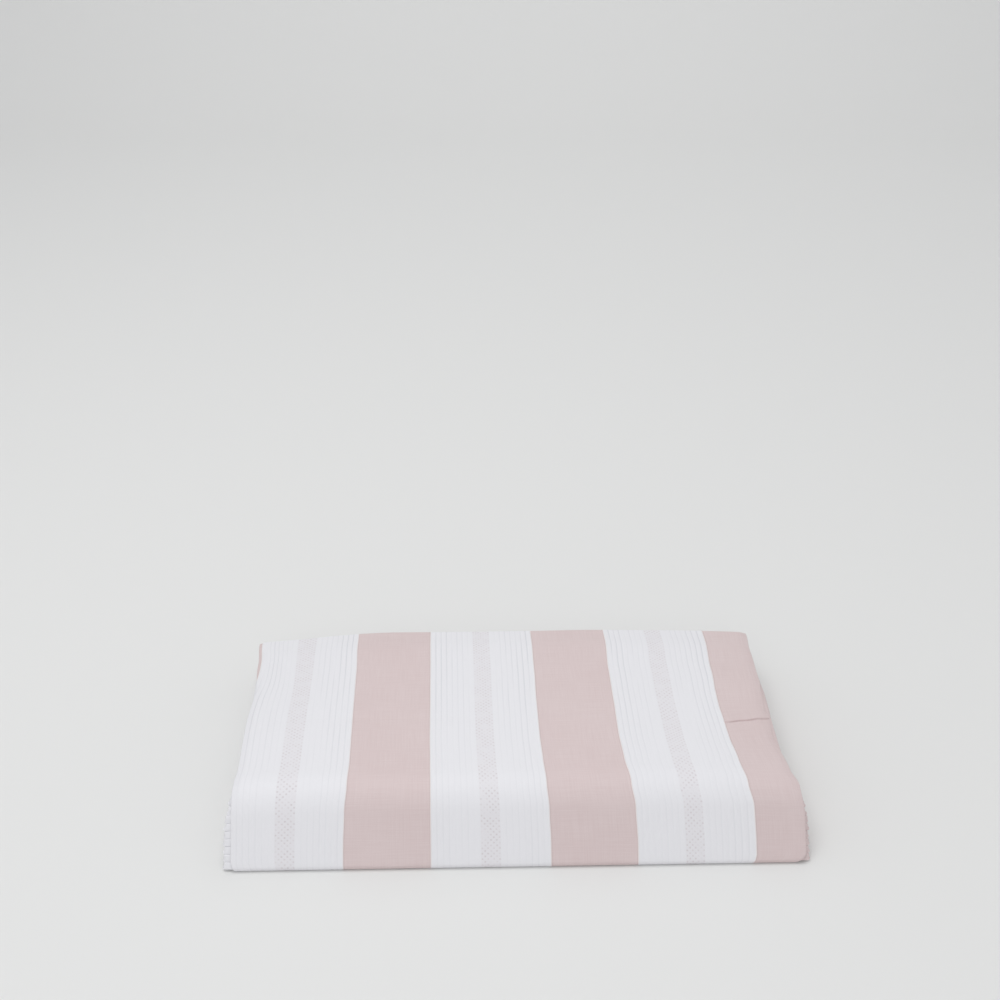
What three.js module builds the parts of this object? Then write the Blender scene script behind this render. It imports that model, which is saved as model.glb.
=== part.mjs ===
import * as THREE from 'three';

// A folded duvet cover lying flat: one cloth laid back and forth in level layers,
// with the outermost layer wrapped round the front as one big rounded fold.
// Millimetres. +X runs along the front fold to the right, +Y away from the front, +Z up.

// Bundle
const wrapWidth = 443;
const bundleDepth = 260;
const bundleHeight = 58;
const clothThickness = 1.5;
const layerCount = 22;

// Big front fold: the cloth rounds a broad shoulder, slopes down to the floor and turns back
// under the bundle in a tight heel. The slope is in degrees below level, and the clearance
// is the room between this fold and the ones inside it
const nose = { shoulderRadius: 36, slope: 58, heelRadius: 4, clearance: 0.7 };

// Crown of the top layer: drops in millimetres from the full height.
// Places along run from 0 at the front edge to 1 at the back edge,
// places across from 0 in the middle to 1 at a side
const crown = { peakAlong: 0.34, frontDrop: 1.5, backDrop: 3.6, sideDrop: 3.4, sidePower: 5 };
const backRoll = { drop: 2.4, fromAlong: 0.87 };
const backLeftCorner = { drop: 7, fromAcross: 0.46, fromAlong: 0.38 };
const backRightCorner = { drop: 1.8, fromAcross: 0.25, fromAlong: 0.6 };
const frontRightCorner = { drop: 1.4, fromAcross: 0.6, toAlong: 0.53 };

// Side edges, outwards from straight: reach is the outermost layer's, inner that of the
// layers inside it, at its fullest in the middle of the stack
const leftEdge = [
  { along: 0.06, reach: 2.7, inner: 8 },
  { along: 0.14, reach: 2.9, inner: 4 },
  { along: 0.24, reach: 1, inner: 2.5 },
  { along: 0.48, reach: 1.6, inner: 2.5 },
  { along: 0.66, reach: -0.2, inner: 1.5 },
  { along: 0.84, reach: 3, inner: 3.6 },
  { along: 1, reach: 6.5, inner: 3.6 },
];
const rightEdge = [
  { along: 0.07, reach: 10, inner: 10.6 },
  { along: 0.14, reach: 6.4, inner: 5.6 },
  { along: 0.2, reach: 0.6, inner: 0.5 },
  { along: 0.36, reach: -3.8, inner: -3.6 },
  { along: 0.46, reach: -2, inner: -0.6 },
  { along: 0.49, reach: -3.4, inner: 2.4 },
  { along: 0.6, reach: -1, inner: 4.6 },
  { along: 0.68, reach: 1, inner: 1.6 },
  { along: 0.86, reach: 2.8, inner: 3 },
  { along: 1, reach: 6, inner: 3 },
];
const edgeFromAcross = 0.74;
const heelPull = 0.12;

// The inner layers stand out most from one level to another, given as shares of the stack,
// and each wanders from its neighbours, less so near the front
const innerEdges = { fromLevel: 0.05, toLevel: 0.82, frontWander: 0.2 };
const layerWander = { size: 1.1, turn: 1.9, start: 0.4 };
const edgeWave = { size: 0.7, length: 45, turn: 2.1 };

// Fold edges at the back, as uneven as they lie
const backSetback = 2.6;
const backWander = { size: 1.9, turn: 1.7, start: 0.9 };
const backWave = { size: 0.8, length: 70 };

// Steps of the faceted solid
const innerLegSteps = 4;
const outerLegSteps = 9;
const heelSteps = 5;
const slopeSteps = 3;
const shoulderSteps = 6;
const foldSteps = 4;
const foldRoom = 14;
const sharpestMiter = 0.6;
const columnShares = [-1, -0.94, -0.78, -0.32, 0.3, 0.76, 0.93, 1];

const halfWidth = wrapWidth / 2;
const halfCloth = clothThickness / 2;
const topLevel = layerCount - 1;
const frontY = -bundleDepth / 2 + halfCloth;
const backY = bundleDepth / 2 - halfCloth;

// Lines of the big front fold's middle line, as distances forward of the shoulder line
// and heights above the bottom layer's middle
const slopeAngle = THREE.MathUtils.degToRad(nose.slope);
const slopeOut = Math.sin(slopeAngle);
const slopeUp = Math.cos(slopeAngle);
const fullNoseHeight = bundleHeight - clothThickness;
const shoulderCentre = fullNoseHeight - nose.shoulderRadius;
const heelForward = noseForward(nose.heelRadius, nose.heelRadius);
const shoulderY = frontY + heelForward + nose.heelRadius;

function rise(from, to, value) {
  return THREE.MathUtils.smoothstep(value, from, to);
}

function wave(shape, turns, place = 0) {
  const along = shape.length ? place / shape.length : 0;
  return shape.size * Math.sin(along + (shape.turn ?? 1) * turns + (shape.start ?? 0));
}

// Reads one value of a short table of places along the depth, easing from row to row
function valueAlong(rows, along, name) {
  const next = rows.findIndex((row) => row.along >= along);
  if (next <= 0) return rows[0][name];
  const before = rows[next - 1];
  const after = rows[next];
  return before[name] + (after[name] - before[name]) * rise(before.along, after.along, along);
}

// Share of the way from the front edge to the back edge
function lengthShare(y) {
  return THREE.MathUtils.clamp((y - frontY) / (backY - frontY), 0, 1);
}

// Height of the top layer's upper face
function topHeight(x, y) {
  const along = lengthShare(y);
  const across = x / halfWidth;
  const fromPeak = along < crown.peakAlong
    ? crown.frontDrop * (1 - along / crown.peakAlong) ** 2
    : crown.backDrop * ((along - crown.peakAlong) / (1 - crown.peakAlong)) ** 2;
  const sides = crown.sideDrop * Math.abs(across) ** crown.sidePower;
  const roll = backRoll.drop * rise(backRoll.fromAlong, 1, along);
  const backLeft = backLeftCorner.drop
    * rise(backLeftCorner.fromAcross, 1, -across)
    * rise(backLeftCorner.fromAlong, 1, along);
  const backRight = backRightCorner.drop
    * rise(backRightCorner.fromAcross, 1, across)
    * rise(backRightCorner.fromAlong, 1, along);
  const frontRight = frontRightCorner.drop
    * rise(frontRightCorner.fromAcross, 1, across)
    * (1 - rise(0, frontRightCorner.toAlong, along));
  return bundleHeight - fromPeak - sides - roll - backLeft - backRight - frontRight;
}

// Height of a layer's middle: the layers share the bundle's height evenly
function levelHeight(level, x, y) {
  const top = topHeight(x, y) - halfCloth;
  return halfCloth + (top - halfCloth) * (level / topLevel);
}

// How far forward the big front fold reaches at a height, on a line set in by a distance
function noseForward(height, inset) {
  const radius = nose.shoulderRadius - inset;
  const overCentre = height - shoulderCentre;
  if (overCentre > radius * slopeUp) {
    return Math.sqrt(Math.max(radius ** 2 - overCentre ** 2, 0));
  }
  return (radius - overCentre * slopeUp) / slopeOut;
}

// Height of the front fold's middle line at its shoulder, as a share of the full height
function noseScale(x) {
  return (topHeight(x, shoulderY) - clothThickness) / fullNoseHeight;
}

// A point's x once the side edges are as uneven as they lie. Its inner value is 0 on
// the outermost layer and 1 on the layers inside it
function sideways(x, point) {
  const along = lengthShare(point.y);
  const share = point.level / topLevel;
  const outer = rise(0, heelPull, share) * (1 - point.inner);
  const midStack = rise(0, innerEdges.fromLevel, share) * (1 - rise(innerEdges.toLevel, 1, share));
  const calm = innerEdges.frontWander + along * (1 - innerEdges.frontWander);
  const wander = calm * (wave(layerWander, point.level) + wave(edgeWave, point.level, point.y));
  const edgeReach = (rows, uneven) => valueAlong(rows, along, 'reach') * outer
    + (valueAlong(rows, along, 'inner') * midStack + uneven) * point.inner;
  const weight = rise(edgeFromAcross, 1, Math.abs(x) / halfWidth);
  return x < 0 ? x - weight * edgeReach(leftEdge, wander) : x + weight * edgeReach(rightEdge, -wander);
}

// Y of the tip of the fold at the back under a given layer
function backTip(level, x) {
  return backY - backSetback - wave(backWander, level) - wave(backWave, level, x);
}

// Y of the tip of an inner fold at the front, which nests in the big front fold
function frontTip(level, x, foldRadius) {
  const inset = (clothThickness + nose.clearance + foldRadius) / noseScale(x);
  return shoulderY - noseForward(fullNoseHeight * level / topLevel, inset) - foldRadius;
}

// Stations of the folded section: each gives its point for a column at x
function legStation(level, placeY) {
  const inner = level === 0 || level === topLevel ? 0 : 1;
  return (x) => {
    const y = placeY(x);
    return { y, z: levelHeight(level, x, y), level, inner };
  };
}

function foldStation(fromLevel, turn, tipOf, direction) {
  const middle = fromLevel - 0.5;
  const down = (1 - Math.cos(turn)) / 2;
  const inner = fromLevel === topLevel ? down : 1;
  return (x) => {
    const roughY = tipOf(middle, x, clothThickness);
    const radius = (levelHeight(fromLevel, x, roughY) - levelHeight(fromLevel - 1, x, roughY)) / 2;
    const centreY = tipOf(middle, x, radius) - direction * radius;
    return {
      y: centreY + direction * radius * Math.sin(turn),
      z: levelHeight(middle, x, roughY) + radius * Math.cos(turn),
      level: fromLevel - down,
      inner,
    };
  };
}

function noseStation(forward, height) {
  return (x) => ({
    y: shoulderY - forward,
    z: halfCloth + height * noseScale(x),
    level: topLevel * height / fullNoseHeight,
    inner: 0,
  });
}

// Round the big front fold, from under the heel up the slope to the shoulder
function noseStations() {
  const stations = [];
  for (let i = 0; i < heelSteps; i += 1) {
    const turn = (Math.PI - slopeAngle) * (i / heelSteps);
    const height = nose.heelRadius * (1 - Math.cos(turn));
    stations.push(noseStation(heelForward + nose.heelRadius * Math.sin(turn), height));
  }
  const slopeFrom = nose.heelRadius * (1 + slopeUp);
  const slopeTo = shoulderCentre + nose.shoulderRadius * slopeUp;
  for (let i = 0; i < slopeSteps; i += 1) {
    const height = slopeFrom + (slopeTo - slopeFrom) * (i / slopeSteps);
    stations.push(noseStation(noseForward(height, 0), height));
  }
  for (let i = 0; i < shoulderSteps; i += 1) {
    const turn = slopeAngle * (1 - i / shoulderSteps);
    const height = shoulderCentre + nose.shoulderRadius * Math.cos(turn);
    stations.push(noseStation(nose.shoulderRadius * Math.sin(turn), height));
  }
  return stations;
}

// Common places along the depth, so that neighbouring layers bend together
function legPlaces(steps) {
  const places = [];
  for (let i = 0; i <= steps; i += 1) {
    places.push(shoulderY + (backY - foldRoom - shoulderY) * (i / steps));
  }
  return places;
}

// The whole section, from the free end of the bottom layer to the free end inside
function foldedSection() {
  const stations = [];
  const outerPlaces = legPlaces(outerLegSteps);
  const innerPlaces = legPlaces(innerLegSteps);

  stations.push(legStation(0, (x) => backTip(0, x)));
  outerPlaces.slice().reverse().forEach((y) => stations.push(legStation(0, () => y)));
  stations.push(...noseStations());
  outerPlaces.forEach((y) => stations.push(legStation(topLevel, () => y)));

  for (let level = topLevel; level > 1; level -= 1) {
    const atBack = (topLevel - level) % 2 === 0;
    const tipOf = atBack ? backTip : frontTip;
    const direction = atBack ? 1 : -1;
    for (let i = 0; i <= foldSteps; i += 1) {
      stations.push(foldStation(level, Math.PI * (i / foldSteps), tipOf, direction));
    }
    const places = atBack ? innerPlaces.slice().reverse() : innerPlaces;
    places.forEach((y) => stations.push(legStation(level - 1, () => y)));
  }
  stations.push(legStation(1, (x) => backTip(1, x)));
  return stations;
}

// Offsets a column's middle line by half the cloth to each side
function columnFaces(stations, x) {
  const middle = stations.map((station) => station(x));
  return middle.map((point, i) => {
    const before = middle[Math.max(i - 1, 0)];
    const after = middle[Math.min(i + 1, middle.length - 1)];
    const arriving = new THREE.Vector2(point.y - before.y, point.z - before.z).normalize();
    const leaving = new THREE.Vector2(after.y - point.y, after.z - point.z).normalize();
    if (i === 0) arriving.copy(leaving);
    if (i === middle.length - 1) leaving.copy(arriving);
    const along = arriving.clone().add(leaving).normalize();
    const offset = halfCloth / Math.max(along.dot(leaving), sharpestMiter);
    const acrossY = -along.y * offset;
    const acrossZ = along.x * offset;
    const placeX = sideways(x, point);
    return {
      outer: [placeX, point.y + acrossY, point.z + acrossZ],
      inner: [placeX, point.y - acrossY, point.z - acrossZ],
    };
  });
}

// Closes the folded sheet: two faces, two side edges and two free ends
function clothGeometry() {
  const stations = foldedSection();
  const columns = columnShares.map((share) => columnFaces(stations, share * halfWidth));
  const rows = stations.length;
  const positions = [];
  columns.forEach((column) => column.forEach((pair) => positions.push(...pair.outer, ...pair.inner)));

  const at = (column, row, inner) => 2 * (column * rows + row) + (inner ? 1 : 0);
  const indices = [];
  const quad = (a, b, c, d) => indices.push(a, c, b, a, d, c);
  const last = columns.length - 1;

  for (let c = 0; c < last; c += 1) {
    for (let r = 0; r < rows - 1; r += 1) {
      quad(at(c, r, false), at(c, r + 1, false), at(c + 1, r + 1, false), at(c + 1, r, false));
      quad(at(c, r, true), at(c + 1, r, true), at(c + 1, r + 1, true), at(c, r + 1, true));
    }
    quad(at(c, 0, false), at(c + 1, 0, false), at(c + 1, 0, true), at(c, 0, true));
    quad(at(c, rows - 1, false), at(c, rows - 1, true),
      at(c + 1, rows - 1, true), at(c + 1, rows - 1, false));
  }
  for (let r = 0; r < rows - 1; r += 1) {
    quad(at(0, r, false), at(0, r, true), at(0, r + 1, true), at(0, r + 1, false));
    quad(at(last, r, false), at(last, r + 1, false), at(last, r + 1, true), at(last, r, true));
  }

  const geometry = new THREE.BufferGeometry();
  geometry.setAttribute('position', new THREE.Float32BufferAttribute(positions, 3));
  geometry.setIndex(indices);
  geometry.computeBoundingBox();
  const box = geometry.boundingBox;
  geometry.translate(-(box.min.x + box.max.x) / 2, -(box.min.y + box.max.y) / 2, -box.min.z);
  geometry.computeVertexNormals();
  return geometry;
}

const stripedCotton = new THREE.MeshStandardMaterial({
  color: new THREE.Color(0.86, 0.83, 0.83),
  roughness: 0.9,
  metalness: 0,
});

const coverCloth = new THREE.Mesh(clothGeometry(), stripedCotton);
coverCloth.name = 'cover_cloth';

const foldedCover = new THREE.Group();
foldedCover.name = 'folded_duvet_cover';
foldedCover.add(coverCloth);

export default foldedCover;
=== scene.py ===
# A folded duvet cover, dressed for its render: one striped cotton sheet laid back and forth
# in level layers, with fine cords woven along its white stripes and a dotted band in each.
# Metres. +X runs along the front fold to the right, +Y away from the front, +Z up.
import bisect
import math

import bpy
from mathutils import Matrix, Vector, noise


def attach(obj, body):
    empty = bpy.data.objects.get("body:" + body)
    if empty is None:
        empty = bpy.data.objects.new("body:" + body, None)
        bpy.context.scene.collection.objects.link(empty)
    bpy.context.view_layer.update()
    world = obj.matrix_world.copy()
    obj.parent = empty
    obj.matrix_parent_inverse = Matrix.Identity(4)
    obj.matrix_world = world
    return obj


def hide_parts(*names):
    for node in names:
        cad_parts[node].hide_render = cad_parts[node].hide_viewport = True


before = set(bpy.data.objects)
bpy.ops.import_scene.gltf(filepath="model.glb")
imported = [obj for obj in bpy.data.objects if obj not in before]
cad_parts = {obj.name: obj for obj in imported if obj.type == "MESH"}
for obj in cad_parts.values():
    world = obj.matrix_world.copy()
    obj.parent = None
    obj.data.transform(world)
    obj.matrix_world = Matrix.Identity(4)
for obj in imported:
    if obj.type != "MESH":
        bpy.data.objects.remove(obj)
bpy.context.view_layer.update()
print("frame loaded:", sorted(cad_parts))

# The folded bundle, as the solid has it
bundle = {
    "width": 0.443,
    "depth": 0.26,
    "height": 0.058,
    "cloth": 0.0015,
    "layers": 22,
    "centre": (-0.00133, -0.00002),
    "foldRoom": 0.014,
}

# Big front fold: a broad shoulder, a slope down to the floor and a tight heel. The slope is
# in degrees below level
nose = {"shoulderRadius": 0.036, "slope": 58, "heelRadius": 0.0028, "clearance": 0.0007}

# How the top lies: drops from the full height. Places along run from 0 at the front edge to
# 1 at the back edge, places across from 0 in the middle to 1 at a side
crown = {
    "peakAlong": 0.34,
    "frontDrop": 0.0015,
    "backDrop": 0.0036,
    "sideDrop": 0.0034,
    "sidePower": 5,
    "backRollDrop": 0.0024,
    "backRollFrom": 0.87,
    "edgeRollDrop": 0.0016,
    "edgeRollFrom": 0.965,
    "edgeRollTo": 1.01,
    "edgeRollPower": 1.5,
}
corners = {
    "backLeft": {"drop": 0.007, "fromAcross": 0.46, "fromAlong": 0.38},
    "backRight": {"drop": 0.0018, "fromAcross": 0.25, "fromAlong": 0.6},
    "frontRight": {"drop": 0.0014, "fromAcross": 0.6, "toAlong": 0.53},
}

# Side edges, outwards from straight: (place along, reach of the outermost layer, reach of
# the layers inside it)
leftEdge = [
    (0.06, 0.0027, 0.008),
    (0.14, 0.0029, 0.004),
    (0.24, 0.001, 0.0025),
    (0.48, 0.0016, 0.0025),
    (0.66, -0.0002, 0.0015),
    (0.84, 0.003, 0.0036),
    (1, 0.0065, 0.0036),
]
rightEdge = [
    (0.07, 0.0082, 0.0102),
    (0.14, 0.006, 0.0058),
    (0.2, 0.0013, 0.0008),
    (0.36, -0.0038, -0.0036),
    (0.46, -0.002, -0.0006),
    (0.49, -0.0034, 0.0024),
    (0.6, -0.001, 0.0046),
    (0.68, 0.001, 0.0016),
    (0.86, 0.0028, 0.003),
    (1, 0.006, 0.003),
]
edges = {
    "fromAcross": 0.74,
    "heelPull": 0.12,
    "fromLevel": 0.05,
    "toLevel": 0.82,
    "frontWander": 0.2,
    "wander": {"size": 0.0011, "turn": 1.9, "start": 0.4},
    "wave": {"size": 0.0007, "length": 0.045, "turn": 2.1},
    "plumpFrom": 0.94,
    "plumpTo": 0.975,
    "plumpShare": 0.985,
    "plumpUneven": 0.3,
    "unevenFrom": -0.02,
    "unevenTo": 0.05,
    "unevenTurn": 2.3,
    "unevenLength": 0.02,
    "flatTipFrom": 0.91,
}
backEdge = {
    "setback": 0.0026,
    "topShort": 0.0013,
    "wander": {"size": 0.0019, "turn": 1.7, "start": 0.9},
    "wave": {"size": 0.0008, "length": 0.07},
}

# The woven stripes, across the cloth
stripes = {
    "pitch": 0.1598,
    "whiteCentre": -0.0213,
    "whiteWidth": 0.0928,
    "bandWidth": 0.0152,
    "cordsEachSide": 8,
    "cordHeight": 0.0002,
    "cordInnerShare": 0.4,
    "edgeCordWidth": 0.0011,
    "edgeCordHeight": 0.00042,
    "edgeCordSteep": 2.2,
    "cordRound": 0.7,
    "reliefFrom": 0.0005,
    "reliefTo": 0.004,
    # Width of the painted highlight along each stripe edge
    "edgeCordHighlightWidth": 0.0005,
    "dotAcross": 0.00227,
    "dotAlong": 0.00212,
}

# The stripes don't run straight. Sideways lean of the cloth at five of their edges, by the
# distance along the cloth from the shoulder of the front fold towards the back
leanEdges = (-0.134, -0.068, 0.025, 0.092, 0.185)
leanRows = [
    (-0.064, -0.0019, 0.0003, 0.0024, 0.0044, 0.0024),
    (-0.036, -0.0009, 0.0003, 0.0015, 0.0031, 0.0018),
    (-0.017, 0.0007, 0.0003, 0, 0.0006, -0.0006),
    (0.008, 0.0017, 0, -0.0013, -0.0022, -0.0025),
    (0.04, 0.0014, -0.0004, -0.0021, -0.0033, -0.0039),
    (0.089, 0.001, -0.0003, -0.0019, -0.0024, -0.0051),
    (0.135, 0.0007, -0.0004, -0.0011, -0.0017, -0.0032),
    (0.184, -0.0006, -0.0007, -0.0006, 0.0004, -0.0006),
]

# Where the left edge of the cloth rolls in at the back, the next pink stripe shows
pinkRim = {"shift": 0.0082, "fromX": -0.19, "fromPlace": 0.1, "toPlace": 0.16}

# Soft unevenness of the cloth as it lies
unevenness = {
    "swellSize": 0.07,
    "swellHeight": 0.0007,
    "swellLevel": 0.31,
    "rippleSize": 0.021,
    "rippleHeight": 0.00016,
    "rippleLevel": 0.83,
    "rippleStretch": 0.6,
}

# A pressed line across the top, as (x, y) points. It is faint up to the right-hand pink
# stripe and a sharp crease from there to the side edge
pressLine = [
    (-0.2215, -0.009),
    (-0.128, -0.0093),
    (-0.093, -0.0101),
    (-0.009, -0.0079),
    (0.042, -0.0049),
    (0.076, -0.0056),
    (0.182, -0.0204),
    (0.198, -0.0177),
    (0.215, -0.0143),
    (0.2215, -0.0115),
]
press = {
    "depth": 0.0002,
    "width": 0.0035,
    "rowY": -0.015,
    "near": 0.002,
    "pullFrom": 0.003,
    "pullTo": 0.045,
}
crease = {
    "fromX": 0.178,
    "toX": 0.185,
    "depth": 0.0011,
    "width": 0.0005,
    "step": 0.0006,
    "stepReach": 0.012,
    "lip": 0.0004,
    "lipWidth": 0.0015,
    "dentX": 0.2185,
    "dentAhead": 0.003,
    "dentStretch": 0.6,
    "dentReach": 0.0035,
    "dentDepth": 0.0012,
}

# How fine the mesh is: sizes of its steps, or how many there are
steps = {
    "topRow": 0.0029,
    "nearRow": 0.0011,
    "creaseRow": 0.00033,
    "backRows": (0.35, 0.7),
    "underHeel": (0.02, 0.006, 0.003),
    "heel": 8,
    "slope": 12,
    "shoulder": 13,
    "bottomLeg": 12,
    "innerLeg": 7,
    "cord": 8,
    "band": 0.0012,
    "plain": 0.0032,
    "edgeCord": 0.0003,
    "cap": 3,
    "hiddenColumns": (1, 0.99, 0.975, 0.955, 0.92, 0.87, 0.8, 0.7, 0.57, 0.43, 0.28, 0.14),
    "lipShare": 0.22,
    "leastMiter": 0.6,
    "sharpAngle": 60,
}

# Turns of a fold, in half turns
foldTurns = (0, 0.13, 0.22, 0.25, 0.28, 0.37, 0.5, 0.63, 0.72, 0.75, 0.78, 0.87, 1)

halfWidth = bundle["width"] / 2
halfCloth = bundle["cloth"] / 2
topLevel = bundle["layers"] - 1
frontY = -bundle["depth"] / 2 + halfCloth
backY = bundle["depth"] / 2 - halfCloth


def ease(low, high, value):
    share = min(max((value - low) / (high - low), 0), 1)
    return share * share * (3 - 2 * share)


def wave(shape, turns, place=0):
    along = place / shape["length"] if "length" in shape else 0
    return shape["size"] * math.sin(along + shape.get("turn", 1) * turns + shape.get("start", 0))


# Reads one value of a short table of places, easing from row to row
def easedTable(rows, place, which=1):
    nextRow = bisect.bisect_left([row[0] for row in rows], place)
    if nextRow == 0:
        return rows[0][which]
    if nextRow == len(rows):
        return rows[-1][which]
    before, after = rows[nextRow - 1], rows[nextRow]
    return before[which] + (after[which] - before[which]) * ease(before[0], after[0], place)


# Sideways lean of the cloth at a place across it and a distance from the shoulder
def clothLean(u, place):
    marks = (-halfWidth,) + leanEdges + (halfWidth,)
    values = [0] + [easedTable(leanRows, place, i + 1) for i in range(len(leanEdges))] + [0]
    right = min(max(bisect.bisect_left(marks, u), 1), len(marks) - 1)
    share = (u - marks[right - 1]) / (marks[right] - marks[right - 1])
    return values[right - 1] + (values[right] - values[right - 1]) * min(max(share, 0), 1)


# Place across the woven pattern
def patternPlace(u, place):
    rolled = ease(pinkRim["fromX"], -halfWidth, u)
    rolled *= ease(pinkRim["fromPlace"], pinkRim["toPlace"], place)
    return u - pinkRim["shift"] * rolled


def alongShare(y):
    return min(max((y - frontY) / (backY - frontY), 0), 1)


# Gentle swells and ripples
def softUnevenness(x, y):
    swellPlace = Vector((x, y, unevenness["swellLevel"]))
    ripplePlace = Vector((x * unevenness["rippleStretch"], y, unevenness["rippleLevel"]))
    swell = noise.noise(swellPlace / unevenness["swellSize"])
    ripple = noise.noise(ripplePlace / unevenness["rippleSize"])
    return swell * unevenness["swellHeight"] + ripple * unevenness["rippleHeight"]


# The pressed line and its sharp end, as a lift of the outer face
def creaseLift(x, y):
    side = y - easedTable(pressLine, x)
    sharp = ease(crease["fromX"], crease["toX"], x)
    soft = math.exp(-((side / press["width"]) ** 2)) * press["depth"]
    groove = math.exp(-((side / crease["width"]) ** 2)) * crease["depth"]
    behind = ease(0, 2 * crease["width"], side) * (1 - ease(0, crease["stepReach"], side))
    behind *= crease["step"]
    lip = math.exp(-(((side + 2 * crease["lipWidth"]) / crease["lipWidth"]) ** 2)) * crease["lip"]
    away = math.hypot(x - crease["dentX"], crease["dentStretch"] * (side + crease["dentAhead"]))
    dent = math.exp(-((away / crease["dentReach"]) ** 2)) * crease["dentDepth"]
    return sharp * (lip + behind - groove) - (1 - sharp) * soft - dent


# Height of the top layer's upper face
def topHeight(x, y):
    along = alongShare(y)
    across = x / halfWidth
    peak = crown["peakAlong"]
    if along < peak:
        drop = crown["frontDrop"] * (1 - along / peak) ** 2
    else:
        drop = crown["backDrop"] * ((along - peak) / (1 - peak)) ** 2
    drop += crown["sideDrop"] * abs(across) ** crown["sidePower"]
    rolled = ease(crown["edgeRollFrom"], crown["edgeRollTo"], abs(across))
    drop += crown["edgeRollDrop"] * rolled ** crown["edgeRollPower"]
    drop += crown["backRollDrop"] * ease(crown["backRollFrom"], 1, along)
    for name, direction in (("backLeft", -1), ("backRight", 1)):
        corner = corners[name]
        share = ease(corner["fromAcross"], 1, direction * across) * ease(corner["fromAlong"], 1, along)
        drop += corner["drop"] * share
    corner = corners["frontRight"]
    share = ease(corner["fromAcross"], 1, across) * (1 - ease(0, corner["toAlong"], along))
    drop += corner["drop"] * share
    return bundle["height"] - drop + softUnevenness(x, y)


# Height of a layer's middle: the layers share the bundle's height evenly
def layerHeight(level, x, y):
    top = topHeight(x, y) - halfCloth
    return halfCloth + (top - halfCloth) * (level / topLevel)


# Lines of the big front fold's middle line, as distances forward of the shoulder line and
# heights above the bottom layer's middle
slopeAngle = math.radians(nose["slope"])
slopeOut, slopeUp = math.sin(slopeAngle), math.cos(slopeAngle)
fullNoseHeight = bundle["height"] - bundle["cloth"]
shoulderCentre = fullNoseHeight - nose["shoulderRadius"]


# How far forward the front fold reaches at a height, on a line set in by a distance
def noseForward(height, inset):
    radius = nose["shoulderRadius"] - inset
    overCentre = height - shoulderCentre
    if overCentre > radius * slopeUp:
        return math.sqrt(max(radius ** 2 - overCentre ** 2, 0))
    return (radius - overCentre * slopeUp) / slopeOut


heelForward = noseForward(nose["heelRadius"], nose["heelRadius"])
shoulderY = frontY + heelForward + nose["heelRadius"]


# Height of the front fold at its shoulder, as a share of the full height
def noseScale(x):
    return (topHeight(x, shoulderY) - bundle["cloth"]) / fullNoseHeight


# A point's x once the side edges are as uneven as they lie. inner is 0 on the outermost
# layer and 1 on the layers inside it
def sideways(x, y, level, inner):
    along = alongShare(y)
    share = level / topLevel
    outer = ease(0, edges["heelPull"], share) * (1 - inner)
    middle = ease(0, edges["fromLevel"], share) * (1 - ease(edges["toLevel"], 1, share))
    calm = edges["frontWander"] + along * (1 - edges["frontWander"])
    wander = calm * (wave(edges["wander"], level) + wave(edges["wave"], level, y))
    direction = -1 if x < 0 else 1
    rows = leftEdge if x < 0 else rightEdge
    reach = easedTable(rows, along, 1) * outer
    reach += (easedTable(rows, along, 2) * middle - direction * wander) * inner
    weight = ease(edges["fromAcross"], 1, abs(x) / halfWidth)
    return x + direction * weight * reach


# Y of the tip of the fold at the back under a given layer
def backTip(level, x, foldRadius=0):
    uneven = wave(backEdge["wander"], level) + wave(backEdge["wave"], level, x)
    return backY - backEdge["setback"] - uneven


# Y of the tip of an inner fold at the front, which nests in the big front fold
def frontTip(level, x, foldRadius):
    inset = (bundle["cloth"] + nose["clearance"] + foldRadius) / noseScale(x)
    return shoulderY - noseForward(fullNoseHeight * level / topLevel, inset) - foldRadius


# Stations of the folded section. Each gives (y, z, level, inner) for a column at x
def legStation(level, placeY):
    inner = 0 if level in (0, topLevel) else 1

    def station(x):
        y = placeY(x)
        return y, layerHeight(level, x, y), level, inner

    return station


# A fold from one layer down to the next. At the front its tip is flat towards the sides
def foldStation(fromLevel, turn, tipOf, direction):
    middle = fromLevel - 0.5
    down = (1 - math.cos(turn)) / 2
    inner = down if fromLevel == topLevel else 1

    def station(x):
        roughY = tipOf(middle, x, bundle["cloth"])
        radius = (layerHeight(fromLevel, x, roughY) - layerHeight(fromLevel - 1, x, roughY)) / 2
        centreY = tipOf(middle, x, radius) - direction * radius
        out, up, lean = math.sin(turn), math.cos(turn), 0
        if direction < 0:
            flat = ease(edges["flatTipFrom"], edges["plumpFrom"], abs(x) / halfWidth)
            square = 1 - flat + flat * max(abs(out), abs(up))
            out, up = out / square, up / square
            lean = flat * out * up * slopeUp / slopeOut
        y = centreY + direction * radius * out + radius * lean
        z = layerHeight(middle, x, roughY) + radius * up
        return y, z, fromLevel - down, inner

    return station


def noseStation(forward, height):
    def station(x):
        z = halfCloth + height * noseScale(x)
        return shoulderY - forward, z, topLevel * height / fullNoseHeight, 0

    return station


# Round the big front fold, from under the heel up the slope to the shoulder
def noseStations():
    stations = []
    for i in range(steps["heel"]):
        turn = (math.pi - slopeAngle) * i / steps["heel"]
        height = nose["heelRadius"] * (1 - math.cos(turn))
        stations.append(noseStation(heelForward + nose["heelRadius"] * math.sin(turn), height))
    slopeFrom = nose["heelRadius"] * (1 + slopeUp)
    slopeTo = shoulderCentre + nose["shoulderRadius"] * slopeUp
    for i in range(steps["slope"]):
        height = slopeFrom + (slopeTo - slopeFrom) * i / steps["slope"]
        stations.append(noseStation(noseForward(height, 0), height))
    for i in range(steps["shoulder"]):
        turn = slopeAngle * (1 - i / steps["shoulder"])
        height = shoulderCentre + nose["shoulderRadius"] * math.cos(turn)
        stations.append(noseStation(nose["shoulderRadius"] * math.sin(turn), height))
    return stations


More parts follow.
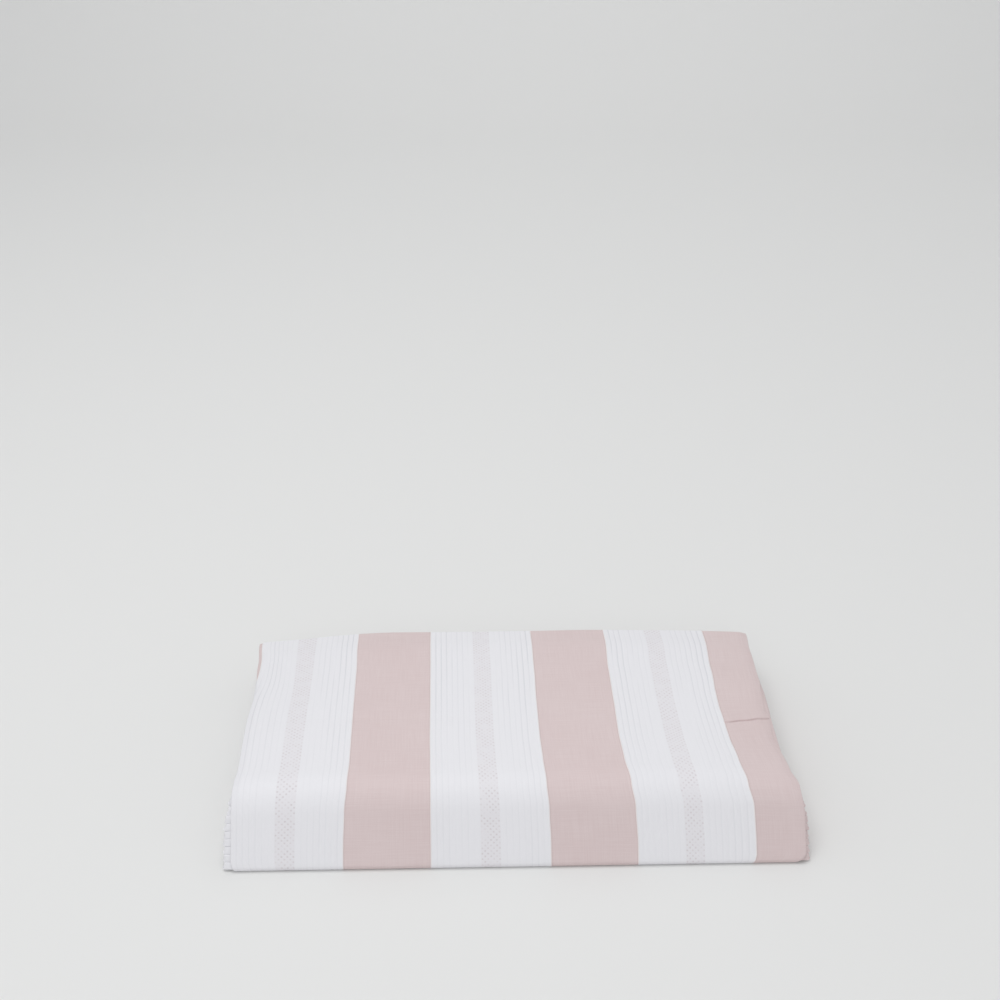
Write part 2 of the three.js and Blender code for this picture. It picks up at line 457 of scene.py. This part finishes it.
def evenly(first, last, count):
    return [first + (last - first) * i / count for i in range(count + 1)]


def stationsAt(places, level):
    return [legStation(level, lambda x, y=y: y) for y in places]


# Rows of the top layer: close together at the pressed line, which they follow
def topStations(lastY):
    near = press["near"]
    places = []
    for first, last, size in (
        (shoulderY, press["rowY"] - 4 * near, steps["topRow"]),
        (press["rowY"] - 4 * near, press["rowY"] - near, steps["nearRow"]),
        (press["rowY"] - near, press["rowY"] + near, steps["creaseRow"]),
        (press["rowY"] + near, press["rowY"] + 4 * near, steps["nearRow"]),
        (press["rowY"] + 4 * near, lastY, steps["topRow"]),
    ):
        places += evenly(first, last, math.ceil((last - first) / size))[:-1]

    def followed(place):
        pull = 1 - ease(press["pullFrom"], press["pullTo"], abs(place - press["rowY"]))
        return lambda x: place + pull * (easedTable(pressLine, x) - press["rowY"])

    return [legStation(topLevel, followed(place)) for place in places + [lastY]]


# The whole section, from the free end of the bottom layer to the free end inside. Returns
# the stations and the first and last row of the face that shows
def foldedSection():
    roomY = backY - bundle["foldRoom"]
    innerPlaces = evenly(shoulderY, roomY, steps["innerLeg"])
    heelY = shoulderY - heelForward
    stations = [legStation(0, lambda x: backTip(0, x))]
    stations += stationsAt(reversed(evenly(shoulderY, roomY, steps["bottomLeg"])), 0)
    stations += stationsAt([heelY + distance for distance in steps["underHeel"]], 0)
    firstShown = len(stations) - 1
    stations += noseStations()
    stations += topStations(roomY)
    middle = topLevel - 0.5

    def backRun(share):
        return lambda x: roomY + share * (backTip(middle, x) - backEdge["topShort"] - roomY)

    stations += [legStation(topLevel, backRun(share)) for share in steps["backRows"]]
    for level in range(topLevel, 1, -1):
        atBack = (topLevel - level) % 2 == 0
        tipOf = backTip if atBack else frontTip
        for turn in foldTurns:
            stations.append(foldStation(level, turn * math.pi, tipOf, 1 if atBack else -1))
        if level == topLevel:
            lastShown = len(stations) - 2
        stations += stationsAt(reversed(innerPlaces) if atBack else innerPlaces, level - 1)
    stations.append(legStation(1, lambda x: backTip(1, x)))
    return stations, firstShown, lastShown


# Distance from the middle of the nearest white stripe
def fromWhite(u):
    pitch = stripes["pitch"]
    return abs((u - stripes["whiteCentre"] + pitch / 2) % pitch - pitch / 2)


halfWhite = stripes["whiteWidth"] / 2
halfBand = stripes["bandWidth"] / 2
cordPitch = (halfWhite - halfBand) / stripes["cordsEachSide"]


# How far the cords and the raised stripe edges stand out of the cloth
def cordRelief(u):
    away = fromWhite(u)
    edge = (away - halfWhite) / stripes["edgeCordWidth"]
    relief = stripes["edgeCordHeight"] * math.exp(-((stripes["edgeCordSteep"] * edge) ** 2))
    if halfBand < away < halfWhite:
        place = (away - halfBand) / cordPitch
        innerShare = stripes["cordInnerShare"]
        outward = innerShare + (1 - innerShare) * place / stripes["cordsEachSide"]
        rounded = abs(math.sin(math.pi * place)) ** stripes["cordRound"]
        relief += stripes["cordHeight"] * outward * rounded
    return relief


# Places of the columns across the cloth: fine on the cords, wide on the plain stripes
def fineColumns():
    marks = []
    edge = stripes["edgeCordWidth"]
    first = math.floor((-halfWidth - stripes["whiteCentre"]) / stripes["pitch"]) - 1
    stripeCount = math.ceil(bundle["width"] / stripes["pitch"]) + 3
    for i in range(first, first + stripeCount):
        middle = stripes["whiteCentre"] + i * stripes["pitch"]
        marks += [
            (middle - halfWhite - edge, steps["edgeCord"]),
            (middle - halfWhite + edge, cordPitch / steps["cord"]),
            (middle - halfBand, steps["band"]),
            (middle + halfBand, cordPitch / steps["cord"]),
            (middle + halfWhite - edge, steps["edgeCord"]),
            (middle + halfWhite + edge, steps["plain"]),
        ]
    places = [-halfWidth]
    for (start, size), (end, _) in zip(marks, marks[1:]):
        low, high = max(start, -halfWidth), min(end, halfWidth)
        if high > low:
            places += evenly(low, high, math.ceil((high - low) / size))[1:]
    return places


# The few columns that the hidden layers have, picked from the fine ones
def coarseColumns(fine):
    wanted = [0] + [side * share for share in steps["hiddenColumns"] for side in (-1, 1)]
    picked = set()
    for share in wanted:
        picked.add(min(range(len(fine)), key=lambda i: abs(fine[i] - share * halfWidth)))
    return sorted(picked)


# Half the cloth's thickness: the folded edges inside are plumper than the cloth between
def halfThickness(x, y, level, inner):
    pitch = (topHeight(x, y) - bundle["cloth"]) / topLevel
    weight = ease(edges["plumpFrom"], edges["plumpTo"], abs(x) / halfWidth) * inner
    behind = ease(shoulderY + edges["unevenFrom"], shoulderY + edges["unevenTo"], y)
    slack = edges["plumpUneven"] * behind
    turn = edges["unevenTurn"] * level + y / edges["unevenLength"]
    uneven = 1 - slack * (0.5 - 0.5 * math.sin(turn))
    plump = max(edges["plumpShare"] * uneven * pitch / 2 - halfCloth, 0)
    return halfCloth + weight * plump


# One column of the cloth at u: for each row its outer and inner point. places gives each
# row's distance from the shoulder, inners how far inside the bundle it lies
def columnFaces(stations, rows, u, places, inners):
    middle, acrossAt = {}, {}
    for r in range(max(rows[0] - 1, 0), min(rows[-1] + 2, len(stations))):
        acrossAt[r] = u + clothLean(u, places[r]) * (1 - inners[r])
        middle[r] = stations[r](acrossAt[r])
    faces = {}
    for r in rows:
        y, z, level, inner = middle[r]
        x = acrossAt[r]
        before, after = middle.get(r - 1, middle[r]), middle.get(r + 1, middle[r])
        arriving = Vector((y - before[0], z - before[1]))
        leaving = Vector((after[0] - y, after[1] - z))
        arriving, leaving = arriving.normalized(), leaving.normalized()
        along = (arriving + leaving).normalized()
        miter = max(along.dot(leaving if leaving.length else arriving), steps["leastMiter"])
        half = halfThickness(x, y, level, inner) / miter
        inFromEdge = ease(stripes["reliefFrom"], stripes["reliefTo"], halfWidth - abs(u))
        lift = cordRelief(patternPlace(u, places[r])) * inFromEdge
        lift *= 1 + min(along.x, 0)  # none on the underside, which lies flat
        if level == topLevel and inner == 0:
            lift += creaseLift(x, y)
        x = sideways(x, y, level, inner)
        faces[r] = (
            Vector((x, y - along.y * (half + lift), z + along.x * (half + lift))),
            Vector((x, y + along.y * half, z - along.x * half)),
        )
    return faces


# A second map, for baking only: the face that shows fills most of it, and the hidden layers
# lie below it in small cells
bakeMap = {
    "shownLow": (0.01, 0.31),
    "shownHigh": (0.99, 0.99),
    "cellsAcross": 14,
    "cellsFrom": 0.012,
    "cellPitch": 0.07,
    "cellSide": 0.064,
    "rowsPerCell": 21,
    "columnRoom": 0.006,
    "rowRoom": 0.003,
    "capStep": 0.0006,
    "endWidth": 1.1,
}


# Shares across the map for a row's ring of points, from the inner face's left end round the
# left edge, over the outer face and round the right edge. room widens the narrow steps
def ringShares(fine, columns, room):
    capKeys = range(1, steps["cap"] + 2)
    keys = [(columns[0], i) for i in reversed(capKeys)] + [(c, 0) for c in columns]
    keys += [(columns[-1], i) for i in capKeys]
    gaps = [bakeMap["capStep"]] * len(capKeys)
    gaps += [fine[b] - fine[a] for a, b in zip(columns, columns[1:])] + gaps
    shares, reached = {keys[0]: 0.0}, 0.0
    for key, gap in zip(keys[1:], gaps):
        reached += gap + room
        shares[key] = reached
    shares = {key: share / reached for key, share in shares.items()}
    for a, b in zip(columns, columns[1:]):
        for c in range(a + 1, b):
            part = (fine[c] - fine[a]) / (fine[b] - fine[a])
            shares[(c, 0)] = shares[(a, 0)] + part * (shares[(b, 0)] - shares[(a, 0)])
    return shares


def mapCell(number):
    column, row = number % bakeMap["cellsAcross"], number // bakeMap["cellsAcross"]
    low = [bakeMap["cellsFrom"] + bakeMap["cellPitch"] * place for place in (column, row)]
    return low, [place + bakeMap["cellSide"] for place in low]


# Lays the faces out in the second map. A face's region is its kind and its first row, a
# point's key its column and its step round the side edge
def addBakeMap(mesh, faces, regions, keys, rows, path, fine, coarse, shown):
    firstShown, lastShown = shown
    lastRow = len(path) - 1
    rowsPerCell = bakeMap["rowsPerCell"]
    shownShares = ringShares(fine, list(range(len(fine))), 0)
    cellShares = ringShares(fine, coarse, bakeMap["columnRoom"])
    innerFrom = 1 + math.ceil((lastRow - lastShown) / rowsPerCell)
    endsFrom = innerFrom + math.ceil(lastRow / rowsPerCell)
    print("cells in the baking map:", endsFrom + 2)
    layer = mesh.uv_layers.new(name="OFBake")
    for polygon, face, (kind, first) in zip(mesh.polygons, faces, regions):
        shares, room = cellShares, bakeMap["rowRoom"]
        if kind == "end":
            low, high = mapCell(endsFrom + min(first, 1))
        elif kind == "inner":
            start = first - first % rowsPerCell
            low, high = mapCell(innerFrom + first // rowsPerCell)
        elif first < firstShown:
            start = 0
            low, high = mapCell(0)
        elif first < lastShown:
            start, shares, room = firstShown, shownShares, 0
            low, high = bakeMap["shownLow"], bakeMap["shownHigh"]
        else:
            start = first - (first - lastShown) % rowsPerCell
            low, high = mapCell(1 + (first - lastShown) // rowsPerCell)
        if kind != "end":
            end = min(start + rowsPerCell, lastRow)
            if kind == "outer" and start == 0:
                end = firstShown
            if kind == "outer" and start == firstShown:
                end = lastShown
            length = path[end] - path[start] + room * (end - start)
        for loopIndex, point in zip(polygon.loop_indices, face):
            if kind == "end":
                x, _, z = mesh.vertices[point].co
                across = x / bundle["width"] / bakeMap["endWidth"] + 0.5
                along = z - layerHeight(min(first, 1), 0, backY) + bundle["cloth"]
                along /= 2 * bundle["cloth"]
            else:
                key = (keys[point][0], 0) if kind == "inner" else keys[point]
                across = shares[key]
                along = path[rows[point]] - path[start] + room * (rows[point] - start)
                along /= length
            layer.data[loopIndex].uv = (
                low[0] + (high[0] - low[0]) * across,
                low[1] + (high[1] - low[1]) * along,
            )


# Builds the closed sheet. Each row is a ring: the outer face, a round side edge, the inner
# face and the other side edge
def clothMesh():
    stations, firstShown, lastShown = foldedSection()
    fine = fineColumns()
    coarse = coarseColumns(fine)
    allRows = list(range(len(stations)))
    shownRows = list(range(firstShown, lastShown + 1))
    isShown = set(shownRows)
    print("cloth rows", len(allRows), "of them shown", len(shownRows), "columns", len(fine))

    centre = [stations[r](0.0) for r in allRows]
    path = [0.0]
    for before, after in zip(centre, centre[1:]):
        path.append(path[-1] + math.hypot(after[0] - before[0], after[1] - before[1]))

    shoulderRow = next(r for r in shownRows if centre[r][2] == topLevel and centre[r][0] >= shoulderY)
    fromShoulder = [place - path[shoulderRow] for place in path]
    inners = [station[3] for station in centre]

    points, weavePlaces, keys, rowOf = [], [], [], []

    def addPoint(point, u, r, key):
        keys.append(key)
        rowOf.append(r)
        points.append((point.x + bundle["centre"][0], point.y + bundle["centre"][1], point.z))
        weavePlaces.append((patternPlace(u, fromShoulder[r] * (1 - inners[r])), path[r]))
        return len(points) - 1

    outer, inner = [{} for _ in allRows], [{} for _ in allRows]
    coarseSet = set(coarse)
    faceEnds = {}
    for c, u in enumerate(fine):
        rows = allRows if c in coarseSet else shownRows
        column = columnFaces(stations, rows, u, fromShoulder, inners)
        for r, (above, below) in column.items():
            outer[r][c] = addPoint(above, u, r, (c, 0))
            if c in coarseSet:
                inner[r][c] = addPoint(below, u, r, (c, steps["cap"] + 1))
        if c in (0, len(fine) - 1):
            faceEnds[c] = column

    # Round side edges
    caps = [{} for _ in allRows]
    for c, direction in ((0, -1), (len(fine) - 1, 1)):
        for r in allRows:
            above, below = faceEnds[c][r]
            middle, arm = (above + below) / 2, (above - below) / 2
            ring = []
            for i in range(1, steps["cap"] + 1):
                turn = math.pi * i / (steps["cap"] + 1)
                push = arm.length * math.sin(turn)
                point = middle + arm * math.cos(turn) + Vector((direction * push, 0, 0))
                ring.append(addPoint(point, fine[c] + direction * push, r, (c, i)))
            caps[r][c] = ring

    faces, regions = [], []

    # A strip of faces between two runs of points that share their ends; one may be finer
    def stitch(runA, runB, flip, region):
        if len(runA) == len(runB):
            strip = [(runA[i], runB[i], runB[i + 1], runA[i + 1]) for i in range(len(runA) - 1)]
        elif len(runA) < len(runB):
            half = len(runB) // 2
            strip = [(runA[0], runB[i], runB[i + 1]) for i in range(half)]
            strip.append((runA[0], runB[half], runA[1]))
            strip += [(runA[1], runB[i], runB[i + 1]) for i in range(half, len(runB) - 1)]
        else:
            half = len(runA) // 2
            strip = [(runB[0], runA[i + 1], runA[i]) for i in range(half)]
            strip.append((runB[0], runB[1], runA[half]))
            strip += [(runB[1], runA[i + 1], runA[i]) for i in range(half, len(runA) - 1)]
        for face in strip:
            faces.append(face[::-1] if flip else face)
            regions.append(region)

    first, last = coarse[0], coarse[-1]
    for r in allRows[:-1]:
        for a, b in zip(coarse, coarse[1:]):
            inside = range(a, b + 1)
            near = [outer[r][c] for c in (inside if r in isShown else (a, b))]
            far = [outer[r + 1][c] for c in (inside if r + 1 in isShown else (a, b))]
            stitch(near, far, True, ("outer", r))
            near, far = [inner[r][a], inner[r][b]], [inner[r + 1][a], inner[r + 1][b]]
            stitch(near, far, False, ("inner", r))
        for c, flip in ((first, False), (last, True)):
            near = [outer[r][c]] + caps[r][c] + [inner[r][c]]
            far = [outer[r + 1][c]] + caps[r + 1][c] + [inner[r + 1][c]]
            stitch(near, far, flip, ("outer", r))

    # Free ends: a rounded lip, then closed
    lip = steps["lipShare"]
    for r, direction, flip in ((0, -1, True), (allRows[-1], 1, False)):
        neighbour = r - direction
        lipOuter, lipInner = {}, {}
        for c in coarse:
            above, below = Vector(points[outer[r][c]]), Vector(points[inner[r][c]])
            away = (above - Vector(points[outer[neighbour][c]])).normalized() * halfCloth
            centreShift = Vector((bundle["centre"][0], bundle["centre"][1], 0))
            upper = above * (1 - lip) + below * lip + away - centreShift
            lower = above * lip + below * (1 - lip) + away - centreShift
            lipOuter[c] = addPoint(upper, fine[c], r, (c, 0))
            lipInner[c] = addPoint(lower, fine[c], r, (c, 0))
        for a, b in zip(coarse, coarse[1:]):
            stitch([outer[r][a], outer[r][b]], [lipOuter[a], lipOuter[b]], not flip, ("end", r))
            stitch([lipOuter[a], lipOuter[b]], [lipInner[a], lipInner[b]], not flip, ("end", r))
            stitch([lipInner[a], lipInner[b]], [inner[r][a], inner[r][b]], not flip, ("end", r))
        for c, turned in ((first, flip), (last, not flip)):
            ring = [outer[r][c]] + caps[r][c] + [inner[r][c], lipInner[c], lipOuter[c]]
            faces.append(tuple(ring if turned else ring[::-1]))
            regions.append(("end", r))

    mesh = bpy.data.meshes.new("coverCloth")
    mesh.from_pydata(points, [], faces)
    mesh.update()
    layer = mesh.uv_layers.new(name="clothUv")
    for loop in mesh.loops:
        layer.data[loop.index].uv = weavePlaces[loop.vertex_index]
    addBakeMap(mesh, faces, regions, keys, rowOf, path, fine, coarse, (firstShown, lastShown))
    for polygon in mesh.polygons:
        polygon.use_smooth = True
    mesh.set_sharp_from_angle(angle=math.radians(steps["sharpAngle"]))
    mesh.validate(verbose=True)
    return mesh


coverCloth = bpy.data.objects.new("coverCloth", clothMesh())
bpy.context.collection.objects.link(coverCloth)
print("cover cloth made,", len(coverCloth.data.polygons), "faces")

# Finish of the cotton, colours as linear light
cotton = {
    "white": (0.79, 0.785, 0.81, 1),
    # Painted shade for the valleys between the cords
    "whiteCordShade": (0.65, 0.65, 0.68, 1),
    "stripeSoftness": 0.0002,
    "bandSoftness": 0.0004,
    # Where the painted cord shade starts, how noise breaks it up, how it grows on top of the bundle
    # and fades out on the layers inside
    "cordShadeFrom": 0.55,
    "shadeBreakupNoise": (110.0, 9.0, 1.0),
    "shadeBreakupFade": (0.3, 0.6),
    "clearFrom": 0.3,
    "clearTo": 0.47,
    "innerFrom": 0.545,
    "innerTo": 0.56,
    "calmShare": 0.42,
    "band": (0.765, 0.75, 0.775, 1),
    "dot": (0.68, 0.64, 0.66, 1),
    "dotFade": (0.3, 0.75),
    "faintNoise": 130.0,
    "faintFade": (0.3, 0.62),
    "pink": (0.645, 0.525, 0.52, 1),
    "pinkPale": (0.69, 0.58, 0.574, 1),
    "pinkShadow": (0.50, 0.38, 0.375, 1),
    # Painted highlight on the raised edge cords, a pale line along each stripe edge
    "edgeCordHighlight": (0.80, 0.745, 0.735, 1),
    "shadowShare": 0.3,
    "shadowFade": (0.0014, 0.0006),
    "toneFade": (0.3, 0.7),
    "cloudNoise": 14.0,
    "cloudShare": 0.25,
    "weaveDepth": 0.00012,
    "crinkleDepth": 0.00022,
    "crinkleNoise": (420.0, 150.0, 1.0),
    "dotDepthShare": 0.5,
    "crinkleStrength": 1.0,
    "weaveStrength": 0.7,
    "streakSize": 0.0009,
    "streakLength": 0.03,
    "roughness": 0.52,
    "specular": 0.5,
    "sheen": 0.1,
    "sheenRoughness": 0.5,
}


# Small helpers for node trees: a socket or a number may stand on either side
class NodeBench:
    def __init__(self, material):
        self.tree = material.node_tree
        self.tree.nodes.clear()

    def add(self, kind, **settings):
        node = self.tree.nodes.new(kind)
        for name, value in settings.items():
            setattr(node, name, value)
        return node

    def plug(self, value, socket):
        if isinstance(value, bpy.types.NodeSocket):
            self.tree.links.new(value, socket)
        else:
            socket.default_value = value

    def math(self, operation, *values, clamp=False):
        node = self.add("ShaderNodeMath", operation=operation, use_clamp=clamp)
        for value, socket in zip(values, node.inputs):
            self.plug(value, socket)
        return node.outputs[0]

    def fade(self, value, low, high, kind="SMOOTHSTEP"):
        node = self.add("ShaderNodeMapRange", interpolation_type=kind)
        for item, socket in zip((value, low, high, 0.0, 1.0), node.inputs):
            self.plug(item, socket)
        return node.outputs[0]

    def mix(self, share, first, second):
        node = self.add("ShaderNodeMix", data_type="RGBA")
        self.plug(share, node.inputs[0])
        self.plug(first, node.inputs[6])
        self.plug(second, node.inputs[7])
        return node.outputs[2]

    def noise(self, vector, scale, detail=2.0):
        node = self.add("ShaderNodeTexNoise")
        self.plug(vector, node.inputs["Vector"])
        node.inputs["Scale"].default_value = scale
        node.inputs["Detail"].default_value = detail
        return node.outputs["Fac"]

    def stretched(self, vector, scale):
        node = self.add("ShaderNodeMapping")
        self.plug(vector, node.inputs["Vector"])
        node.inputs["Scale"].default_value = scale
        return node.outputs["Vector"]


def stripedCotton():
    material = bpy.data.materials.new("stripedCotton")
    material.use_nodes = True
    bench = NodeBench(material)
    place = bench.add("ShaderNodeUVMap", uv_map="clothUv").outputs["UV"]
    split = bench.add("ShaderNodeSeparateXYZ")
    bench.plug(place, split.inputs[0])
    u, v = split.outputs[0], split.outputs[1]

    halfPitch = stripes["pitch"] / 2
    offCentre = bench.math("SUBTRACT", u, stripes["whiteCentre"])
    signedAway = bench.math("WRAP", offCentre, halfPitch, -halfPitch)
    away = bench.math("ABSOLUTE", signedAway)
    softly = cotton["stripeSoftness"]
    isWhite = bench.fade(away, halfWhite + softly, halfWhite - softly)
    softly = cotton["bandSoftness"]
    inBand = bench.fade(away, halfBand + softly, halfBand - softly)

    # Cords: painted shade in the valleys between them, more so towards the stripe's edges and
    # on top of the bundle, and none on the layers inside; noise breaks the painted shade up
    cordPlace = bench.math("DIVIDE", bench.math("SUBTRACT", away, halfBand), cordPitch)
    cordTurn = bench.math("MULTIPLY", cordPlace, math.pi)
    ridge = bench.math("ABSOLUTE", bench.math("SINE", cordTurn))
    cordShade = bench.fade(ridge, cotton["cordShadeFrom"], 0.0)
    outward = bench.fade(away, 0.0, halfWhite, "LINEAR")
    # Noise that breaks up the painted shade in the cord valleys
    shadeBreakup = bench.noise(bench.stretched(place, cotton["shadeBreakupNoise"]), 1.0)
    shadeBreakup = bench.fade(shadeBreakup, *cotton["shadeBreakupFade"])
    cordShade = bench.math("MULTIPLY", bench.math("MULTIPLY", cordShade, outward), shadeBreakup)
    onTop = bench.fade(v, cotton["clearFrom"], cotton["clearTo"])
    clear = bench.math("MULTIPLY_ADD", onTop, 1 - cotton["calmShare"], cotton["calmShare"])
    shown = bench.fade(v, cotton["innerTo"], cotton["innerFrom"])
    cordShade = bench.math("MULTIPLY", bench.math("MULTIPLY", cordShade, clear), shown)

    # Dots of the woven band: every second place of a square lattice
    acrossTurn = bench.math("MULTIPLY", signedAway, math.pi / stripes["dotAcross"])
    alongTurn = bench.math("MULTIPLY", v, math.pi / stripes["dotAlong"])
    acrossWave, alongWave = bench.math("COSINE", acrossTurn), bench.math("COSINE", alongTurn)
    dot = bench.fade(bench.math("MULTIPLY", acrossWave, alongWave), *cotton["dotFade"])
    faint = bench.fade(bench.noise(place, cotton["faintNoise"]), *cotton["faintFade"])
    dot = bench.math("MULTIPLY", dot, faint)

    # Threads: long faint streaks both ways, and a cloudy variation
    close, far = 1 / cotton["streakSize"], 1 / cotton["streakLength"]
    streaksAlong = bench.noise(bench.stretched(place, (close, far, 1)), 1.0)
    streaksAcross = bench.noise(bench.stretched(place, (far, close, 1)), 1.0)
    streaks = bench.math("MULTIPLY", bench.math("ADD", streaksAlong, streaksAcross), 0.5)
    cloud = bench.noise(place, cotton["cloudNoise"], 3.0)
    cloud = bench.math("MULTIPLY", cloud, cotton["cloudShare"])
    tone = bench.math("ADD", bench.math("MULTIPLY", streaks, 1 - cotton["cloudShare"]), cloud)

    white = bench.mix(cordShade, cotton["white"], cotton["whiteCordShade"])
    band = bench.mix(dot, cotton["band"], cotton["dot"])
    white = bench.mix(inBand, white, band)
    pink = bench.mix(bench.fade(tone, *cotton["toneFade"]), cotton["pink"], cotton["pinkPale"])
    shadowFrom, shadowTo = cotton["shadowFade"]
    underEdge = bench.fade(away, halfWhite + shadowFrom, halfWhite + shadowTo)
    underEdge = bench.math("MULTIPLY", underEdge, cotton["shadowShare"])
    pink = bench.mix(underEdge, pink, cotton["pinkShadow"])
    colour = bench.mix(isWhite, pink, white)
    # Painted highlight: a pale line where the raised edge cord at each stripe edge catches light
    fromEdge = bench.math("ABSOLUTE", bench.math("SUBTRACT", away, halfWhite))
    onEdgeHighlight = bench.fade(fromEdge, stripes["edgeCordHighlightWidth"], stripes["edgeCordHighlightWidth"] / 3)
    colour = bench.mix(onEdgeHighlight, colour, cotton["edgeCordHighlight"])

    # Relief too fine for the mesh: crinkle on the corded cloth, dots, and the threads
    crinkle = bench.noise(bench.stretched(place, cotton["crinkleNoise"]), 1.0, 3.0)
    crinkle = bench.math("MULTIPLY", crinkle, bench.math("MULTIPLY", isWhite, outward))
    raised = bench.math("MULTIPLY", bench.math("MULTIPLY", dot, inBand), cotton["dotDepthShare"])

    crinkleBump = bench.add("ShaderNodeBump")
    crinkleBump.inputs["Strength"].default_value = cotton["crinkleStrength"]
    crinkleBump.inputs["Distance"].default_value = cotton["crinkleDepth"]
    bench.plug(bench.math("SUBTRACT", crinkle, raised), crinkleBump.inputs["Height"])
    weaveBump = bench.add("ShaderNodeBump")
    weaveBump.inputs["Strength"].default_value = cotton["weaveStrength"]
    weaveBump.inputs["Distance"].default_value = cotton["weaveDepth"]
    bench.plug(streaks, weaveBump.inputs["Height"])
    bench.plug(crinkleBump.outputs["Normal"], weaveBump.inputs["Normal"])

    shader = bench.add("ShaderNodeBsdfPrincipled")
    bench.plug(colour, shader.inputs["Base Color"])
    bench.plug(weaveBump.outputs["Normal"], shader.inputs["Normal"])
    shader.inputs["Roughness"].default_value = cotton["roughness"]
    shader.inputs["Specular IOR Level"].default_value = cotton["specular"]
    shader.inputs["Sheen Weight"].default_value = cotton["sheen"]
    shader.inputs["Sheen Roughness"].default_value = cotton["sheenRoughness"]
    output = bench.add("ShaderNodeOutputMaterial")
    bench.plug(shader.outputs["BSDF"], output.inputs["Surface"])
    return material


coverCloth.data.materials.append(stripedCotton())
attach(coverCloth, "root")
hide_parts("cover_cloth")
print("cover cloth finished in striped cotton")

# Pale floor that sweeps up into the backdrop
studio = {
    "floorColour": (0.775, 0.775, 0.765, 1),
    "floorRoughness": 0.9,
    "floorSpecular": 0.1,
    "floorHalfWidth": 6.0,
    "frontY": -4.0,
    "sweepY": 2.2,
    "sweepRadius": 1.2,
    "sweepSteps": 16,
    "wallHeight": 5.0,
}


def studioSweep():
    profile = [(studio["frontY"], 0.0), (studio["sweepY"], 0.0)]
    radius = studio["sweepRadius"]
    for i in range(1, studio["sweepSteps"] + 1):
        turn = math.pi / 2 * i / studio["sweepSteps"]
        profile.append((studio["sweepY"] + radius * math.sin(turn), radius * (1 - math.cos(turn))))
    profile.append((profile[-1][0], studio["wallHeight"]))
    side = studio["floorHalfWidth"]
    points = [(x, y, z) for y, z in profile for x in (-side, side)]
    faces = [(2 * i, 2 * i + 1, 2 * i + 3, 2 * i + 2) for i in range(len(profile) - 1)]
    mesh = bpy.data.meshes.new("studioSweep")
    mesh.from_pydata(points, [], faces)
    for polygon in mesh.polygons:
        polygon.use_smooth = True
    return mesh


studioFloor = bpy.data.objects.new("studioSweep", studioSweep())
bpy.context.collection.objects.link(studioFloor)
floorMaterial = bpy.data.materials.new("paleFloor")
floorMaterial.use_nodes = True
floorShader = floorMaterial.node_tree.nodes["Principled BSDF"]
floorShader.inputs["Base Color"].default_value = studio["floorColour"]
floorShader.inputs["Roughness"].default_value = studio["floorRoughness"]
floorShader.inputs["Specular IOR Level"].default_value = studio["floorSpecular"]
studioFloor.data.materials.append(floorMaterial)

# Soft studio light
lightSetup = {
    "worldColour": (0.97, 0.98, 1.0, 1),
    "worldStrength": 0.62,
    "softboxes": [
        {"name": "overhead", "at": (-0.4, 0.0, 2.4), "aim": (0, 0, 0), "size": 1.6, "power": 18.5},
        {"name": "back", "at": (0.3, 3.0, 2.4), "aim": (0.3, 2.8, 0), "size": 2.4, "power": 16},
        {"name": "front", "at": (-0.5, -2.2, 1.9), "aim": (0, 0, 0), "size": 1.6, "power": 11.5},
    ],
}
world = bpy.data.worlds.new("studioWorld")
world.use_nodes = True
world.node_tree.nodes["Background"].inputs["Color"].default_value = lightSetup["worldColour"]
world.node_tree.nodes["Background"].inputs["Strength"].default_value = lightSetup["worldStrength"]
scene = bpy.context.scene
scene.world = world
for softbox in lightSetup["softboxes"]:
    name = softbox["name"] + "Softbox"
    lamp = bpy.data.lights.new(name, "AREA")
    lamp.shape = "SQUARE"
    lamp.size = softbox["size"]
    lamp.energy = softbox["power"]
    holder = bpy.data.objects.new(name, lamp)
    holder.location = softbox["at"]
    aim = Vector(softbox["aim"]) - Vector(softbox["at"])
    holder.rotation_euler = aim.to_track_quat("-Z", "Y").to_euler()
    bpy.context.collection.objects.link(holder)
scene.view_settings.view_transform = "Standard"
print("studio lit")

# The camera stands where the photograph's lines put it
cameraSetup = {
    "place": (-0.05238, -0.95497, 0.7791),
    "lookDown": 28.47,
    "turn": 1.306,
    "lens": 50,
    "sensor": 36,
    "shiftX": 0.0243,
}
cameraData = bpy.data.cameras.new("photoCamera")
cameraData.lens = cameraSetup["lens"]
cameraData.sensor_width = cameraSetup["sensor"]
cameraData.shift_x = cameraSetup["shiftX"]
photoCamera = bpy.data.objects.new("photoCamera", cameraData)
photoCamera.location = cameraSetup["place"]
photoCamera.rotation_euler = (
    math.radians(90 - cameraSetup["lookDown"]),
    0,
    -math.radians(cameraSetup["turn"]),
)
bpy.context.collection.objects.link(photoCamera)
scene.camera = photoCamera
